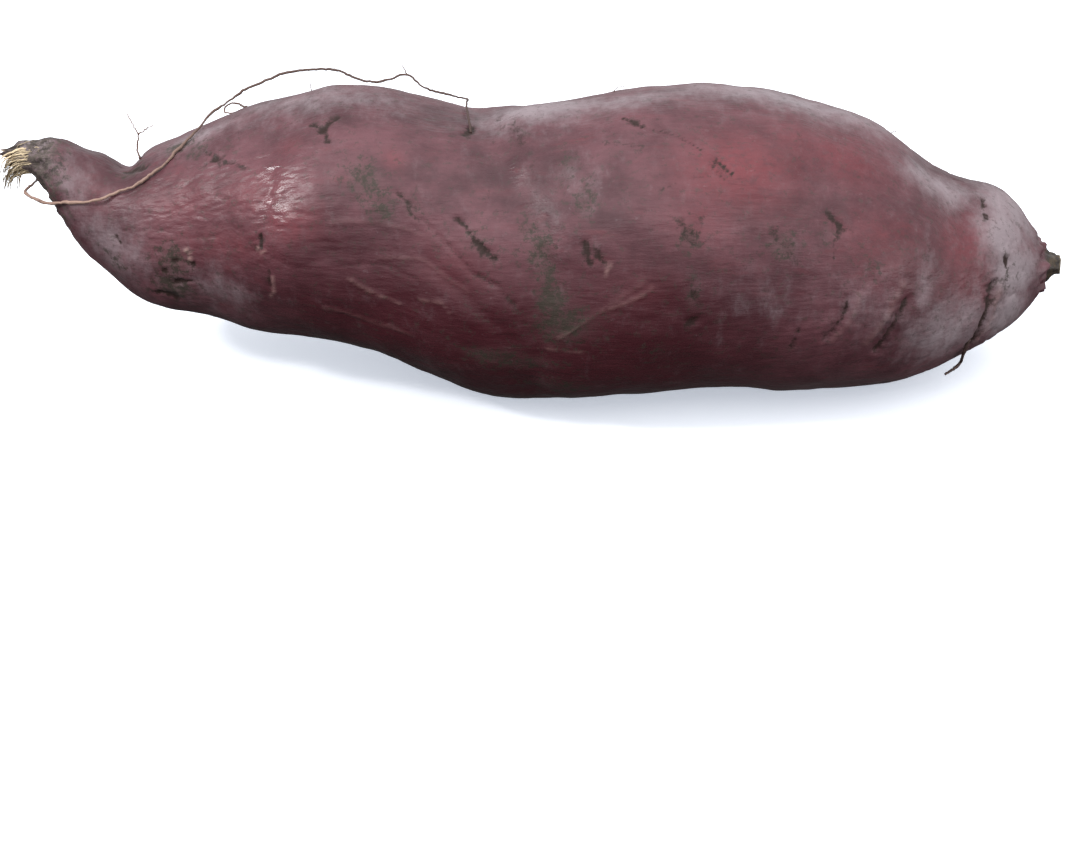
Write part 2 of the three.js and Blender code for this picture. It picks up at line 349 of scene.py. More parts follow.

# Raised thin ridges: the line, half the width, the height and how pale. The pale colour is partly the
# ridges' own and partly a painted highlight where they catch the light.
RIDGES = [
    ([(-33, 2), (-30, -1), (-27.5, -2.3), (-24, -3.3)], 0.26, 0.25, 0.2),
    ([(-20.3, 2.7), (-16.4, 5.6), (-15, 2.7)], 0.26, 0.2, 0.16),
    ([(4.5, -5), (11.5, 5), (18.7, 10.6), (21, 13.5)], 0.26, 0.25, 0.14),
    ([(8, 1), (14, 9), (19, 15)], 0.3, 0.2, 0.05),
    ([(-38, -14), (-30, -17), (-22, -16)], 0.3, 0.2, 0.08),
    ([(-36, 26), (-28, 29), (-18, 30)], 0.3, 0.15, 0.05),
    ([(-28, 14), (-20, 20), (-12, 14)], 0.3, 0.2, 0.08),
    ([(66, 20), (63, 4), (60, -10)], 0.5, 0.3, 0.12),
    ([(58, 12), (56.5, 2), (53.5, -8)], 0.4, 0.25, 0.1),
    ([(86, 14), (85, -2), (82, -26)], 0.5, 0.25, 0.15),
    ([(-49.8, 15.5), (-49, 13), (-48.2, 14)], 0.18, 0.25, 0.6),
    ([(-47, 2), (-46.9, -6), (-48, -11)], 0.18, 0.2, 0.35),
    ([(-64, 11), (-62.9, 8), (-63.6, 3)], 0.22, 0.3, 0.6),
    ([(13.2, 23), (12.4, 18)], 0.26, 0.2, 0.4),
    ([(2.5, -10.3), (8.5, -11.3)], 0.25, 0.1, 0.15),
]

# Olive and grey-green dirt: x, angle, reach along, reach round, amount.
DIRT = [
    (-30, 46, 4.0, 4.5, 0.75),
    (-27, 36, 3.0, 3.5, 0.65),
    (-1, 38, 2.4, 3.0, 0.6),
    (1, 30, 2.6, 4.0, 0.85),
    (2, 22, 2.4, 5.0, 0.7),
    (3, 10, 3.2, 3.8, 1.0),
    (5, 1, 6.0, 4.6, 0.85),
    (-9, -13, 4.5, 2.2, 0.7),
    (-2, -18, 7.0, 2.2, 0.6),
    (5, -32, 7.0, 3.0, 0.6),
    (6, 60, 2.0, 5.0, 0.5),
    (9, 47, 2.4, 5.0, 0.55),
    (27, 31, 2.2, 3.0, 0.6),
    (28, 10, 1.6, 3.6, 0.5),
    (44, 27, 3.2, 3.2, 0.7),
    (-10, 35, 2.6, 3.0, 0.5),
    (-22, 39, 3.0, 2.6, 0.45),
    (-75, 80, 2.6, 2.0, 0.9),
    (-66, 88, 3.2, 2.6, 0.85),
    (-62, 76, 2.4, 2.6, 0.6),
    (-78, -12, 2.6, 2.4, 0.5),
    (-66.5, 2, 3.6, 4.6, 0.8),
    (-67, -18, 4.2, 3.6, 0.9),
    (-6, -14, 5.0, 2.6, 0.6),
    (52, 34, 2.2, 3.0, 0.4),
    (22, -12, 3.0, 2.4, 0.35),
    (60, 24, 2.5, 2.5, 0.3),
    (88, 20, 2.4, 3.0, 0.35),
    (-52, 165, 5.0, 4.0, 0.6),
    (10, 205, 6.0, 4.0, 0.6),
    (38, 150, 3.5, 6.0, 0.55),
    (64, 195, 4.0, 4.0, 0.5),
    (-20, 190, 3.5, 7.0, 0.65),
    (-78, 150, 3.0, 3.0, 0.6),
]

# Grey-mauve dusty bloom, partly painted light: the patches along the top are painted sheen, and those
# low at either end are painted light thrown up from the floor.
BLOOM_AND_PAINTED_SHEEN = [
    (2, 100, 12.0, 7.0, 0.8),
    (18, 96, 9.0, 5.0, 0.5),
    (8, 54, 4.5, 7.0, 0.2),
    (87, 55, 6.0, 8.0, 0.85),
    (89, 25, 5.5, 7.0, 0.85),
    (76, -6, 9.0, 8.0, 0.65),
    (88, 90, 6.0, 8.0, 0.8),
    (74, 80, 8.0, 5.0, 0.7),
    (88, -14, 5.0, 7.0, 0.8),
    (70, 20, 2.0, 9.0, 0.4),
    (-40, 98, 18.0, 7.0, 0.42),
    (-62, 92, 9.0, 4.0, 0.5),
    (-94, 90, 5.0, 5.0, 0.9),
    (-92, 40, 3.6, 4.0, 0.5),
    (-78, 2, 8.0, 7.0, 0.42),
    (-58, -13, 8.0, 6.0, 0.32),
    (-86, 45, 5.0, 6.0, 0.45),
    (46, 104, 24.0, 7.0, 0.7),
    (42, 8, 9.0, 6.0, 0.15),
    (60, 6, 9.0, 7.0, 0.25),
    (30, 190, 16.0, 9.0, 0.4),
    (-40, 170, 14.0, 8.0, 0.4),
    (76, 170, 9.0, 9.0, 0.5),
]

# Redder, cleaner skin.
BLUSH = [
    (36, 55, 11.0, 8.0, 1.0),
    (30, 38, 7.0, 6.0, 0.45),
    (56, 68, 8.0, 6.0, 0.7),
    (78, 42, 5.5, 6.0, 0.75),
    (79, 20, 5.5, 6.0, 0.6),
    (-44, 26, 6.0, 4.0, 0.8),
    (-50, 40, 9.0, 5.0, 0.55),
    (-64, 40, 9.0, 5.0, 0.5),
    (-44, 62, 2.5, 2.5, 0.4),
    (-25, 58, 2.0, 2.4, 0.5),
    (-56, 16, 12.0, 4.0, 0.5),
    (46, 66, 8.0, 8.0, 0.5),
    (-82, 48, 4.0, 4.0, 0.35),
    (-14, 20, 6.0, 5.0, 0.4),
    (20, 12, 6.0, 4.0, 0.4),
    (62, 34, 9.0, 7.0, 0.45),
    (-20, 160, 9.0, 8.0, 0.6),
    (50, 185, 10.0, 8.0, 0.6),
    (8, 235, 12.0, 7.0, 0.4),
]


# Low lumps all over the skin: their size and their height.
LUMPS = [(17, 0.32), (7, 0.12), (2.4, 0.035)]
USUAL_RADIUS = 26.0

# Places along the tuber, from the torn stalk to the root tip.
BREAK_X = -94.2  # where the torn fibres leave the stalk
TORN_BACK_X = -92.5  # from here to the stalk's end the rim is torn back
BARK_X = -84.5  # from here to the stalk's end the skin turns to bark
COLLAR_X = 96.1  # the skin's broken edge round the root stub
STUB_X = 96.9  # the bare root stub begins
COLLAR_GROOVE_X = 97.3  # a groove between the collar and the stub


def random_scars(count, angles, half_width, darkness):
    """Small dashes and dots scattered between two angles, mostly lying round the tuber."""
    scars = []
    for _ in range(count):
        x = rng.uniform(-72, 84)
        angle = rng.uniform(*angles)
        length = rng.uniform(0.2, 4.0)
        lean = rng.uniform(-0.5, 0.5)
        reach = math.degrees(length / USUAL_RADIUS)
        route = [(x, angle), (x + lean * length, angle + reach)]
        width = half_width * rng.uniform(0.6, 1.4)
        scars.append((route, width, 0.5 * width, darkness * rng.uniform(0.5, 1.2)))
    return scars


def press_scars(lift):
    """Presses every scar into lift, with a low rim beside it. Returns how dark it leaves the skin."""
    back_scars = random_scars(46, (125, 300), half_width=0.5, darkness=0.7)
    front_specks = random_scars(40, (-60, 120), half_width=0.22, darkness=0.3)
    scar = np.zeros(GRID_X.shape)
    for route, half_width, depth, darkness in SCARS + back_scars + front_specks:
        away = distance_to(route) * UNEVEN
        lift -= depth * bell(away, 1.1 * half_width)
        lift += 0.25 * depth * bell(away - 2.2 * half_width, half_width)
        scar = np.maximum(scar, darkness * bell(away, 1.15 * half_width))
    return scar


def press_folds(lift):
    """Presses every fold into lift."""
    for route, half_width, depth in FOLDS:
        lift -= depth * bell(distance_to(route), half_width)


def raise_ridges(lift):
    """Raises every ridge in lift. Returns how pale it leaves the skin: partly its own paleness, partly
    painted highlight.
    """
    ridge_paleness_and_glint = np.zeros(GRID_X.shape)
    for route, half_width, height, paleness in RIDGES:
        shape = bell(distance_to(route) * UNEVEN, half_width)
        lift += height * shape
        ridge_paleness_and_glint = np.maximum(ridge_paleness_and_glint, paleness * shape)
    return ridge_paleness_and_glint


def wrinkles():
    """Fine wrinkling: lengthwise over the upper lobe, crosswise towards the root tip and the waist."""
    lengthwise = grooves(waves(1.3, (16, 1, 1)), 0.3) + 0.7 * grooves(waves(0.9, (14, 1, 1)), 0.3)
    crosswise = grooves(waves(1.6, (1, 4, 4)), 0.25)
    plain = grooves(waves(2.2, (3, 1, 1)), 0.2)
    upper_lobe = patch(-48, 38, 16, 14) + 0.5 * patch(-70, 40, 10, 12) + 0.6 * patch(-50, 170, 20, 14)
    taper = patch(60, -2, 14, 12) + patch(84, 10, 9, 34) + 0.7 * patch(70, 180, 18, 25)
    waist = 0.6 * patch(-2, 20, 5, 30) + 0.7 * patch(-93, 60, 4, 20) + 0.5 * patch(-78, 100, 5, 14)
    depth = 0.2 * lengthwise * np.clip(upper_lobe, 0, 1)
    depth += 0.26 * crosswise * np.clip(taper + waist, 0, 1)
    return depth + 0.05 * plain


def collar_tear():
    """The skin's broken edge round the root stub: it stands out in uneven teeth."""
    teeth = waves(1.6, (3, 1, 1))
    groove = 0.3 * bell(GRID_X - COLLAR_GROOVE_X, 0.5)
    return 0.55 * teeth * bell(GRID_X - COLLAR_X, 0.9) - groove


def spots(places):
    """The amount of a stain at every vertex, from its list of patches."""
    total = np.zeros(GRID_X.shape)
    for x, angle, along, around, amount in places:
        total = np.maximum(total, amount * patch(x, angle, along, around))
    return total


# ---------------------------------------------------------------- tuber mesh


def mesh_object(name, vertices, faces, materials):
    """A smooth-shaded object from vertices in millimetres."""
    mesh = bpy.data.meshes.new(name)
    mesh.from_pydata([tuple(v) for v in np.asarray(vertices) * MM], [], faces)
    mesh.polygons.foreach_set("use_smooth", [True] * len(mesh.polygons))
    for material in materials:
        mesh.materials.append(material)
    made = bpy.data.objects.new(name, mesh)
    bpy.context.scene.collection.objects.link(made)
    return made


def store(made, name, values):
    """One number for every vertex, for the material to read by that name."""
    attribute = made.data.attributes.new(name, "FLOAT", "POINT")
    attribute.data.foreach_set("value", np.asarray(values, dtype=np.float32).ravel())


def closed_tube_faces(rings, sides, clockwise):
    """Quads over rings of vertices and a fan over each end.

    The two ends' middles are the last two vertices. clockwise says which way the rings run, seen
    from the last ring, so that the faces look outward.
    """
    faces = []
    for i in range(rings - 1):
        for j in range(sides):
            here, there = i * sides + j, (i + 1) * sides + j
            step = (j + 1) % sides - j
            if clockwise:
                faces.append((here, there, there + step, here + step))
            else:
                faces.append((here, here + step, there + step, there))
    last = (rings - 1) * sides
    fans = [(0, rings * sides, clockwise), (last, rings * sides + 1, not clockwise)]
    for first, middle, outward in fans:
        for j in range(sides):
            pair = (first + j, first + (j + 1) % sides)
            faces.append((middle, *pair) if outward else (middle, *pair[::-1]))
    return faces


# How far the torn rim stands back on average, and its waves: how many go round it, phase, reach.
RIM_BACK = 1.9
RIM_WAVES = [(1, 0.26, -2.3), (5, 0, 0.5), (9, 1, 0.8), (14, 0, 0.6)]


def torn_rim(points):
    """Moves the stalk's end: bark reaches furthest over its top and is torn back below and in front."""
    turn = np.radians(GRID_ANGLE)
    back = RIM_BACK
    for count, phase, reach in RIM_WAVES:
        back = back + reach * np.sin(count * turn + phase)
    points[..., 0] += back * np.clip((TORN_BACK_X - GRID_X) / 6.0, 0, 1)


def skin_stains(scar, ridge_paleness_and_glint, stub, bark):
    """What the material reads at every vertex of the grid, by name."""
    facing_down = np.clip(0.72 - np.sin(np.radians(GRID_ANGLE)), 0, 1)
    torn_stalk = bell(GRID_X - X_FROM, 0.25)
    broken_tip = 0.55 * bell(GRID_X - X_TO, 0.4)
    return {
        "scar": scar,
        "ridge_paleness_and_glint": ridge_paleness_and_glint,
        "dirt": spots(DIRT),
        "bloom_and_sheen": spots(BLOOM_AND_PAINTED_SHEEN),
        "blush": spots(BLUSH),
        "stub": stub,
        "bark": bark,
        "shine": patch(-46, 40, 3.0, 17),
        # Painted shade: darker underneath, most of all towards the middle, where less light reaches the
        # skin.
        "painted_underside_shade": facing_down * bell(GRID_X + 3, 46),
        "torn": np.maximum(torn_stalk, broken_tip),
    }


def make_tuber(materials):
    """The skin's mesh, closed by the stalk's pith and the root tip, with its stains stored on it."""
    lift = sum(height * waves(size) for size, height in LUMPS)
    scar = press_scars(lift)
    press_folds(lift)
    ridge_paleness_and_glint = raise_ridges(lift)
    stub = np.clip((GRID_X - STUB_X) / 0.5, 0, 1)
    bark = np.clip((BARK_X - GRID_X) / 7, 0, 1)
    lift += collar_tear() - wrinkles()
    lift += 0.16 * waves(1.0) * stub + 0.2 * waves(1.3, (2, 1, 1)) * bark
    points = BASE_POINTS + lift[..., None] * BASE_NORMALS
    torn_rim(points)
    points[..., 2] = np.maximum(points[..., 2], 0)
    pith = points[0].mean(axis=0) + np.array([1.0, 0, 0])
    tip = points[-1].mean(axis=0) + np.array([0.25, 0, 0])
    vertices = np.concatenate([points.reshape(-1, 3), [pith, tip]])
    tuber = mesh_object("tuber_skin", vertices, closed_tube_faces(*GRID_X.shape, True), materials)
    for name, values in skin_stains(scar, ridge_paleness_and_glint, stub, bark).items():
        ends = [values[0].mean(), values[-1].mean()]
        store(tuber, name, np.append(values.ravel(), ends))
    return tuber


# ---------------------------------------------------------------- rootlets and fibres

# The part was moved by this much to centre it when it was packed.
CAD_SHIFT_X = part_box("tuber")[1][0] / MM - CAD_TIP_X
CAD_SHIFT_Y = 1.3

# The rootlets' routes as (x, angle, lift), with the part's own x.
LONG_ROOTLET = [
    (-11.8, 87, -0.2), (-12.2, 94, 0.5), (-12.9, 112, 1.2), (-12.9, 120, 1.9), (-15.5, 120, 2.0),
    (-18.3, 120, 1.9), (-21.3, 120, 1.9), (-24.0, 120, 3.4), (-27.8, 120, 1.8), (-30.6, 120, 1.1),
    (-33.8, 120, 1.6), (-36.8, 120, 2.9), (-39.3, 120, 3.5), (-43.0, 120, 4.0), (-47.4, 120, 4.6),
    (-50.9, 120, 4.2), (-54.7, 120, 3.9), (-57.6, 120, 3.1), (-61.1, 118, 1.9), (-63.2, 97, 0.5),
    (-65.4, 86, 0.4), (-68.1, 72, 0.4), (-70.8, 65, 0.4), (-73.8, 59, 0.5), (-77.0, 55, 0.5),
    (-80.8, 41, 0.4), (-84.3, 27, 0.4), (-88.1, 2, 0.5),
]
LOOPED_END = [
    (-90.6, 3.0, 34.9), (-93.1, 3.4, 35.6), (-94.8, 4.5, 35.9), (-95.3, 6.0, 36.1),
    (-94.2, 7.5, 36.5), (-93.4, 8.6, 37.0), (-93.0, 9.2, 37.9),
]
CURLED_ROOTLET = [
    (-53.8, 106, -0.2), (-54.1, 110, 0.5), (-54.9, 116, 0.9), (-55.6, 118, 1.5), (-56.9, 118, 2.3),
    (-58.3, 118, 2.2), (-58.6, 117, 1.4), (-58.1, 112, 0.8), (-56.4, 110, 0.5),
]
FORKED_STEM = [(-74.3, 98, -0.2), (-75.2, 112, 2.1), (-74.9, 112, 4.2)]
FORKED_LEFT = [(-74.9, 112, 4.1), (-75.6, 112, 6.2), (-77.0, 112, 9.7)]
FORKED_RIGHT = [(-74.9, 112, 4.1), (-73.6, 112, 3.9), (-72.0, 112, 4.0)]
HOOKED_ROOTLET = [
    (80.2, -20, -0.2), (79.6, -32, 0.4), (80.0, -50, 0.9), (78.8, -50, 1.4), (77.8, -50, 1.7),
    (76.9, -50, 1.6),
]
HAIRS = [
    [(-41.8, 112, -0.2), (-42.3, 119, 1.6), (-42.6, 120, 4.0)],
    [(14.0, 112, -0.1), (15.2, 116, 0.8), (17.0, 117, 0.5)],
    [(66.0, 116, -0.1), (67.2, 120, 1.1), (68.0, 120, 1.5)],
    [(-30.0, 200, -0.2), (-31.5, 204, 1.4), (-35.0, 207, 1.2)],
    [(26.0, 178, -0.2), (27.5, 182, 1.5), (29.0, 190, 1.0)],
]


STRAND_SIDES = 9
CURVE_STEPS = 6  # points of a strand for every place on its route
KNOBBLY = 0.15  # how much a strand's thickness changes along it


def curve_through(places):
    """Points along a smooth curve through the places."""
    places = np.array(places, dtype=float)
    padded = np.concatenate([[2 * places[0] - places[1]], places, [2 * places[-1] - places[-2]]])
    points = []
    for a, b, c, d in zip(padded[:-3], padded[1:-2], padded[2:-1], padded[3:]):
        for t in np.arange(CURVE_STEPS) / CURVE_STEPS:
            points.append(
                0.5 * (2 * b + (c - a) * t + (2 * a - 5 * b + 4 * c - d) * t**2)
                + 0.5 * (3 * b - a - 3 * c + d) * t**3
            )
    points.append(places[-1])
    return np.array(points)


def tube_mesh(points, radii, flatness):
    """Vertices and faces of a closed tube whose radius changes along its points."""
    sides = STRAND_SIDES
    tangents = np.gradient(points, axis=0)
    tangents /= np.linalg.norm(tangents, axis=1, keepdims=True)
    side = np.cross(tangents[0], [0.3, 0.2, 1.0])
    vertices = []
    for point, tangent, radius in zip(points, tangents, radii):
        side = side - tangent * (side @ tangent)
        side /= np.linalg.norm(side)
        other = np.cross(tangent, side)
        for turn in np.arange(sides) * 2 * math.pi / sides:
            round_it = math.cos(turn) * side + flatness * math.sin(turn) * other
            vertices.append(point + radius * round_it)
    vertices += [points[0], points[-1]]
    return np.array(vertices), closed_tube_faces(len(points), sides, False)


def root_strand(places, radii, tones, wander=0.06, flatness=1.0):
    """One root thread: its vertices, faces and tone. Radii and tones are spread along its length."""
    points = curve_through(places)
    count = len(points)
    share = np.linspace(0, 1, count)
    uneven = np.interp(share, np.linspace(0, 1, count // 3 + 2), rng.normal(size=count // 3 + 2))
    thickness = np.interp(share, np.linspace(0, 1, len(radii)), radii)
    thickness *= 1 + KNOBBLY * np.clip(uneven, -1.5, 1.5)
    points[1:-1] += wander * rng.normal(size=(count - 2, 3))
    vertices, faces = tube_mesh(points, thickness, flatness)
    tone = np.repeat(np.interp(share, np.linspace(0, 1, len(tones)), tones), STRAND_SIDES)
    return vertices, faces, np.append(tone, [tones[0], tones[-1]])


def joined_strands(strands):
    """One set of vertices, faces and tones from several strands."""
    vertices, faces, tones, start = [], [], [], 0
    for strand_vertices, strand_faces, strand_tones in strands:
        vertices.append(strand_vertices)
        faces += [tuple(start + v for v in face) for face in strand_faces]
        tones.append(strand_tones)
        start += len(strand_vertices)
    return np.concatenate(vertices), faces, np.concatenate(tones)


def on_skin(route):
    """A route of (x, angle, lift) in the part's own x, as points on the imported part."""
    return [tuple(skin_place(x + CAD_SHIFT_X, angle, lift)) for x, angle, lift in route]


def add_strands(name, strands, material, node=None):
    """One piece made of several strands, which may stand for one of the part's nodes."""
    vertices, faces, tones = joined_strands(strands)
    made = mesh_object(name, vertices, faces, [material])
    store(made, "tone", tones)
    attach(made, ROOT)
    if node:
        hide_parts(node)


def add_rootlets(material):
    """The part's four rootlets, and hairs too fine for the part."""
    loop = [(x + CAD_SHIFT_X, y - CAD_SHIFT_Y, z) for x, y, z in LOOPED_END]
    long_route = on_skin(LONG_ROOTLET) + loop
    radii = (0.22, 0.22, 0.23, 0.23, 0.24, 0.25, 0.28, 0.3, 0.29, 0.2)
    tones = (0.0, 0.1, 0.15, 0.1, 0.2, 0.3, 0.85, 1.0, 0.8, 0.2)
    whisker = on_skin([(-24.0, 120, 3.3), (-24.6, 120, 4.4), (-25.0, 119, 4.9)])
    strands = [root_strand(long_route, radii, tones), root_strand(whisker, (0.13, 0.06), (0.1, 0.4))]
    add_strands("long_rootlet_fibre", strands, material, "long_rootlet")
    curled = [root_strand(on_skin(CURLED_ROOTLET), (0.22, 0.12), (0.1, 0.5))]
    add_strands("curled_rootlet_fibre", curled, material, "curled_rootlet")
    forked = [
        root_strand(on_skin(FORKED_STEM), (0.2, 0.15), (0.2, 0.5)),
        root_strand(on_skin(FORKED_LEFT), (0.16, 0.1), (0.4, 0.6)),
        root_strand(on_skin(FORKED_RIGHT), (0.16, 0.1), (0.4, 0.6)),
    ]
    add_strands("forked_rootlet_fibre", forked, material, "forked_rootlet")
    hooked = [root_strand(on_skin(HOOKED_ROOTLET), (0.34, 0.3, 0.2), (0.0, 0.15))]
    add_strands("hooked_rootlet_fibre", hooked, material, "hooked_rootlet")
    hairs = [root_strand(on_skin(route), (0.1, 0.05), (0.1, 0.4)) for route in HAIRS]
    add_strands("fine_hairs", hairs, material)


def torn_fibre(angle, share_out, reach, droop):
    """The route of a fibre that leaves the torn stalk, share_out of the way from its middle."""
    root = skin_place(BREAK_X + rng.uniform(-0.6, 0.6), angle)
    middle = (skin_place(BREAK_X, 90) + skin_place(BREAK_X, -90)) / 2
    root[1:] = middle[1:] + share_out * (root[1:] - middle[1:])
    x, y, z = root
    sway = rng.normal() * 0.3
    return [
        (x + 2.0, y, z + 0.1),
        (x, y, z),
        (x - 0.5 * reach, y + 0.4 * sway, z - 0.12 * droop),
        (x - 0.85 * reach, y + sway, z - 0.45 * droop),
        (x - reach, y + 1.2 * sway, z - droop),
    ]


def torn_strand(angle, share_out, reach, droop, thick):
    """A flat fibre that thins towards its tip."""
    tone = rng.uniform(0.1, 1.0)
    radii = (thick, 0.9 * thick, 0.7 * thick, 0.06)
    tones = (0.4 * tone, tone, tone, 0.7 * tone)
    route = torn_fibre(angle, share_out, reach, droop)
    return root_strand(route, radii, tones, wander=0.05, flatness=0.5)


FRONT_FIBRES = 110
BACK_FIBRES = 40
# Longer fibres that hang from the front of the break: angle, reach and droop.
HANGING_FIBRES = [
    (0, 4.4, 5.4),
    (-20, 3.4, 5.8),
    (20, 4.9, 4.6),
    (-40, 2.4, 4.6),
    (-10, 5.2, 6.6),
    (8, 3.0, 4.4),
    (-30, 4.0, 5.2),
    (40, 5.0, 4.0),
    (30, 4.4, 3.4),
    (55, 5.2, 3.0),
    (12, 5.3, 5.6),
]


def add_torn_fibres(material):
    """The stalk's torn fibres, splayed over its broken end and hanging from it."""
    strands = []
    for _ in range(FRONT_FIBRES):
        reach = rng.uniform(2.2, 5.2)
        droop = rng.uniform(0.4, 1.4) + 1.5 * max(0.0, reach - 3.0)
        share_out = math.sqrt(rng.uniform(0.05, 1.0))
        angle = rng.uniform(-80, 72)
        strands.append(torn_strand(angle, share_out, reach, droop, rng.uniform(0.1, 0.22)))
    for angle, reach, droop in HANGING_FIBRES:
        strands.append(torn_strand(angle, 0.9, reach, droop, rng.uniform(0.26, 0.4)))
    for _ in range(BACK_FIBRES):
        reach = rng.uniform(1.6, 3.6)
        angle = rng.uniform(95, 280)
        strands.append(torn_strand(angle, rng.uniform(0.4, 0.95), reach, 0.6, 0.16))
    add_strands("torn_stalk_fibres", strands, material)


# ---------------------------------------------------------------- materials


class Look:
    """A node material, with short calls that add a node and return its output."""

    def __init__(self, name):
        self.material = bpy.data.materials.new(name)
        self.material.use_nodes = True
        self.tree = self.material.node_tree
        self.shader = self.tree.nodes["Principled BSDF"]
        self.place = self.add("ShaderNodeTexCoord").outputs["Object"]

    def add(self, kind, **settings):
        node = self.tree.nodes.new(kind)
        for key, value in settings.items():
            setattr(node, key, value)
        return node

    def set(self, socket, value):
        """A node's input from a plain value or from another node's output."""
        if isinstance(value, bpy.types.NodeSocket):
            self.tree.links.new(value, socket)
        elif isinstance(value, tuple) and len(value) == 3 and socket.type == "RGBA":
            socket.default_value = (*value, 1.0)
        else:
            socket.default_value = value

    def noise(self, size, stretch=(1, 1, 1), detail=3.0, rough=0.55, offset=0.0):
        """Noise with features of that size in millimetres, drawn out by stretch. Each offset differs."""
        mapping = self.add("ShaderNodeMapping")
        self.set(mapping.inputs["Vector"], self.place)
        mapping.inputs["Location"].default_value = (offset, offset, offset)
        mapping.inputs["Scale"].default_value = tuple(1 / s for s in stretch)
        noise = self.add("ShaderNodeTexNoise")
        self.set(noise.inputs["Vector"], mapping.outputs["Vector"])
        noise.inputs["Scale"].default_value = 1 / (size * MM)
        noise.inputs["Detail"].default_value = detail
        noise.inputs["Roughness"].default_value = rough
        return noise.outputs["Fac"]

    def stored(self, name):
        return self.add("ShaderNodeAttribute", attribute_name=name).outputs["Fac"]

    def math(self, operation, a, b):
        node = self.add("ShaderNodeMath", operation=operation)
        self.set(node.inputs[0], a)
        self.set(node.inputs[1], b)
        return node.outputs[0]

    def fade(self, value, low, high, to_low=0.0, to_high=1.0):
        """value taken smoothly from low..high to to_low..to_high."""
        node = self.add("ShaderNodeMapRange", interpolation_type="SMOOTHSTEP")
        self.set(node.inputs["Value"], value)
        node.inputs["From Min"].default_value = low
        node.inputs["From Max"].default_value = high
        node.inputs["To Min"].default_value = to_low
        node.inputs["To Max"].default_value = to_high
        return node.outputs["Result"]

    def mix(self, share, a, b):
        node = self.add("ShaderNodeMix", data_type="RGBA")
        self.set(node.inputs[0], share)
        self.set(node.inputs[6], a)
        self.set(node.inputs[7], b)
        return node.outputs[2]

    def ragged(self, name, noise, low, high, unevenness=0.9):
        """A stored stain with an uneven edge and broken inside by the noise."""
        summed = self.math("ADD", self.stored(name), self.math("MULTIPLY", noise, unevenness))
        return self.fade(summed, low, high)

    def bump(self, height, depth, below=None):
        node = self.add("ShaderNodeBump")
        self.set(node.inputs["Height"], height)
        node.inputs["Distance"].default_value = depth * MM
        if below is not None:
            self.set(node.inputs["Normal"], below)
        return node.outputs["Normal"]


# Colours, as the shader takes them.
DEEP = (0.05, 0.016, 0.021)
PLUM = (0.12, 0.046, 0.056)
RED = (0.155, 0.027, 0.035)
# The colour of the painted shade underneath.
PAINTED_SHADE_UNDERSIDE = (0.046, 0.007, 0.011)
MAUVE_GREY = (0.26, 0.215, 0.23)
OLIVE = (0.03, 0.025, 0.017)
OLIVE_GREY = (0.075, 0.064, 0.056)
SCAR_BROWN = (0.02, 0.008, 0.006)
# Partly the ridges' own pale colour, partly painted highlight.
PALE_RIDGE_AND_GLINT = (0.36, 0.22, 0.2)
BARK_GREY = (0.085, 0.066, 0.057)
BARK_DARK = (0.028, 0.021, 0.018)
STUB_BROWN = (0.06, 0.042, 0.026)
TORN_CREAM = (0.42, 0.33, 0.2)
ROOTLET_DARK, ROOTLET_LIGHT = (0.045, 0.022, 0.018), (0.3, 0.19, 0.15)
FIBRE_DARK, FIBRE_LIGHT = (0.1, 0.07, 0.045), (0.72, 0.58, 0.38)
FLOOR_DARK, FLOOR_LIGHT = (0.86, 0.87, 0.89), (0.89, 0.9, 0.915)


def plain_skin(look, speck):
    """Plum and red skin, mottled and streaked along the tuber, and darker and redder underneath, where
    shade is painted.
    """
    broad = look.noise(19, (1.6, 1, 1), 2.0)
    mottle = look.noise(5.0, (1.3, 1, 1), 5.0, 0.65, 3.1)
    grain = look.noise(0.8, (4, 1, 1), 3.0, 0.6, 1.7)
    share = look.math("ADD", look.math("MULTIPLY", broad, 0.55), look.math("MULTIPLY", mottle, 0.5))
    colour = look.mix(look.fade(share, 0.36, 0.68), DEEP, PLUM)
    colour = look.mix(look.fade(grain, 0.35, 0.8, 0.0, 0.24), colour, DEEP)
    reddish = look.fade(look.noise(2.6, (5, 1, 1), 3.0, 0.6, 6.0), 0.55, 0.8, 0.0, 0.3)
    colour = look.mix(reddish, colour, RED)
    blush = look.math("MULTIPLY", look.stored("blush"), look.fade(speck, 0.25, 0.6, 0.35, 0.8))
    colour = look.mix(blush, colour, RED)
    # Painted shade underneath.
    return look.mix(look.fade(look.stored("painted_underside_shade"), 0.0, 0.72, 0.0, 0.88), colour, PAINTED_SHADE_UNDERSIDE)


def dusted_and_sheened(look, colour, speck):
    """Grey-mauve bloom and painted sheen in streaky patches, and fine dust all over."""
    streaks = look.noise(2.6, (1, 1.6, 1.6), 5.0, 0.7, 5.3)
    # Bloom patches: real dust, and painted sheen over the top and painted floor light low at the ends.
    bloom_and_sheen = look.math("MULTIPLY", look.ragged("bloom_and_sheen", streaks, 0.45, 1.35), 0.85)
    colour = look.mix(bloom_and_sheen, colour, MAUVE_GREY)
    return look.mix(look.fade(speck, 0.64, 0.8, 0.0, 0.16), colour, MAUVE_GREY)


